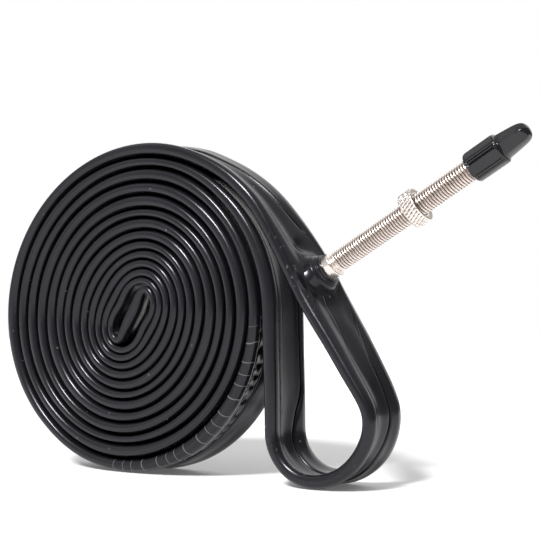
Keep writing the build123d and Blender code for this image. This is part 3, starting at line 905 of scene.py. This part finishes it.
def cap_mesh():
    """The cap, outside and in."""
    outer_part = [np.array([t, r]) for t, r in (
        (60.30, 0.0), (60.28, 0.55), (60.18, 1.05), (59.98, 1.55), (59.66, 2.00), (59.20, 2.36),
        (58.60, 2.62), (57.9, 2.80), (57.0, 2.93), (56.0, 3.05), (55.0, 3.16), (54.0, 3.27), (53.2, 3.36),
        (52.75, 3.42), (52.45, 3.46), (52.28, 3.52), (52.22, 3.60))]
    grip = [np.array([t, r]) for t, r in (
        (52.2, 3.72), (52.12, 3.86), (51.98, 3.98), (51.8, 4.06), (51.6, 4.10),
        (51.4, CAP_RADIUS))]
    grip += [np.array([t, CAP_RADIUS]) for t in np.linspace(51.0, 44.4, 16)]
    grip += [np.array([t, r]) for t, r in (
        (44.1, CAP_RADIUS), (43.85, 4.11), (43.6, 4.08), (43.4, 4.02), (43.2, 3.92),
        (43.05, 3.80), (42.95, 3.66),
        (42.9, 3.5), (42.9, 3.3), (42.98, 3.16), (43.15, CAP_BORE))]
    cavity = rounded([
        (43.3, CAP_BORE, 0), (45.3, CAP_BORE, 0.05), (45.3, 2.68, 0.05), (52.3, 2.66, 0.05),
        (52.3, 2.12, 0.05), (58.7, 2.12, 0.3), (58.7, 0.0, 0),
    ], closed_outline=False)
    outline = np.array(outer_part + grip + list(cavity))
    split = len(outer_part) + len(grip)
    t, radius, turns = turned_grid(outline, FACETS * 24)
    radius[:split] = cap_shape(t[:split], radius[:split], turns[:split])
    return grid_mesh("dust_cap_plastic", on_axis(t, radius, turns))


new_object("dust_cap_plastic", cap_mesh(), plastic, "dust_cap", ("dust_cap",), sharp=40)

# the core body under the cap, with its own thread, coarser than the stem's
CORE_ROOT, CORE_CREST, CORE_PITCH = 2.25, 2.6, 1.058
CORE_BEGIN, CORE_END = 45.02, 48.8
core_outline = rounded([
    (CORE_END, CORE_ROOT, 0), (48.85, 2.12, 0.05), (51.5, 2.12, 0.1), (51.8, 1.9, 0.1), (51.8, 1.0, 0.05),
    (39.6, 1.0, 0), (39.6, 2.1, 0), (45.0, 2.1, 0), (CORE_BEGIN, CORE_ROOT, 0),
], closed_outline=False)
core = threaded_mesh("core_body_nickel", core_outline, CORE_BEGIN, CORE_END,
                     CORE_ROOT, CORE_CREST, CORE_PITCH, 48)
new_object("core_body_nickel", core, nickel, "inner_tube", ("core_body",), sharp=55)

# the small parts whose CAD shape is already right
small_parts = {"core_gasket": seal, "plunger_seal": seal, "core_pin": brass, "core_nut": brass}
for node, material in small_parts.items():
    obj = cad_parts[node]
    if obj.material_slots:
        for material_slot in obj.material_slots:
            material_slot.material = material
    else:
        obj.data.materials.append(material)


# ---------------------------------------------------------------- studio
FLOOR_SEGMENTS = 96
FLOOR_GLOW = 0.10


def staged_floor():
    """A pale round floor, level with the underside of the tube."""
    turns = np.arange(FLOOR_SEGMENTS) * 2 * np.pi / FLOOR_SEGMENTS
    radius = np.array([0.0, 120, 300, 700, 1500, 3000])
    points = np.stack([radius[:, None] * np.cos(turns), radius[:, None] * np.sin(turns),
                       np.zeros((len(radius), FLOOR_SEGMENTS))], axis=-1)
    mesh = grid_mesh("studio_floor", points)
    bm = bmesh.new()
    bm.from_mesh(mesh)
    bmesh.ops.remove_doubles(bm, verts=bm.verts, dist=1e-6)
    for face in bm.faces:
        if face.normal.z < 0:
            face.normal_flip()
    bm.to_mesh(mesh)
    bm.free()
    material, tree, nodes, links, shader = nodes_of("pale_floor")
    links.new(ramp(tree, noise(tree, 3, 2), [(0.3, (0.90, 0.90, 0.90)), (0.7, (0.93, 0.93, 0.93))]),
              shader.inputs["Base Color"])
    shader.inputs["Roughness"].default_value = 0.9
    shader.inputs["Specular IOR Level"].default_value = 0.1
    shader.inputs["Emission Color"].default_value = (1, 1, 1, 1)
    shader.inputs["Emission Strength"].default_value = FLOOR_GLOW
    mesh.materials.append(material)
    obj = bpy.data.objects.new("studio_floor", mesh)
    bpy.context.scene.collection.objects.link(obj)


staged_floor()
AIM = Vector((0.0, 0.0, 0.045))


def softbox(name, place, size, power):
    """A white rectangular light, turned towards the middle of the tube."""
    data = bpy.data.lights.new(name, "AREA")
    data.shape = "RECTANGLE"
    data.size, data.size_y = size
    data.energy = power
    obj = bpy.data.objects.new(name, data)
    obj.location = place
    obj.rotation_mode = "QUATERNION"
    obj.rotation_quaternion = (AIM - Vector(place)).to_track_quat("-Z", "Y")
    bpy.context.scene.collection.objects.link(obj)


def sky_light(name, towards, spread, strength):
    """Even white light from a round patch of sky, spread degrees across, in the direction towards."""
    data = bpy.data.lights.new(name, "SUN")
    data.angle = math.radians(spread)
    data.energy = strength
    obj = bpy.data.objects.new(name, data)
    obj.rotation_mode = "QUATERNION"
    obj.rotation_quaternion = Vector(towards).to_track_quat("Z", "Y")
    bpy.context.scene.collection.objects.link(obj)


sky_light("key_light", towards=(0.03, -0.71, 0.68), spread=13, strength=4.0)
sky_light("overhead_light", towards=(0.0, 0.1, 1.0), spread=100, strength=0.70)
sky_light("backdrop_light", towards=(-0.1, 0.84, 0.54), spread=60, strength=0.80)
sky_light("left_light", towards=(-0.83, -0.30, 0.50), spread=60, strength=0.25)
softbox("front_fill", place=(-0.75, -1.05, 0.20), size=(1.0, 0.7), power=1.0)

# the camera sees a white backdrop, which lights the tube only dimly
DIM_STRENGTH = 0.20
world = bpy.data.worlds.new("studio_world")
world.use_nodes = True
tree = world.node_tree
dim = tree.nodes["Background"]
dim.inputs["Color"].default_value = (1, 1, 1, 1)
dim.inputs["Strength"].default_value = DIM_STRENGTH
backdrop = tree.nodes.new("ShaderNodeBackground")
backdrop.inputs["Color"].default_value = (1, 1, 1, 1)
backdrop.inputs["Strength"].default_value = 1.0
rays = tree.nodes.new("ShaderNodeLightPath")
choose = tree.nodes.new("ShaderNodeMixShader")
tree.links.new(rays.outputs["Is Camera Ray"], choose.inputs["Fac"])
tree.links.new(dim.outputs["Background"], choose.inputs[1])
tree.links.new(backdrop.outputs["Background"], choose.inputs[2])
tree.links.new(choose.outputs["Shader"], tree.nodes["World Output"].inputs["Surface"])
bpy.context.scene.world = world
bpy.context.scene.view_settings.view_transform = "Standard"
bpy.context.scene.view_settings.look = "None"

# the camera, solved from the photograph
LENS_MM, SENSOR_MM = 74.07, 36.0
CAMERA_PLACE = (0.17449, -0.25752, 0.04293)
AZIMUTH, ELEVATION = math.radians(32.9), math.radians(-2.80)
camera_data = bpy.data.cameras.new("photo_camera")
camera_data.lens = LENS_MM
camera_data.sensor_width = SENSOR_MM
camera_data.clip_start, camera_data.clip_end = 0.01, 20.0
camera = bpy.data.objects.new("photo_camera", camera_data)
camera_back = Vector((math.sin(AZIMUTH) * math.cos(ELEVATION), -math.cos(AZIMUTH) * math.cos(ELEVATION),
                      math.sin(ELEVATION)))
camera.location = CAMERA_PLACE
camera.rotation_mode = "QUATERNION"
camera.rotation_quaternion = (-camera_back).to_track_quat("-Z", "Y")
bpy.context.scene.collection.objects.link(camera)
bpy.context.scene.camera = camera
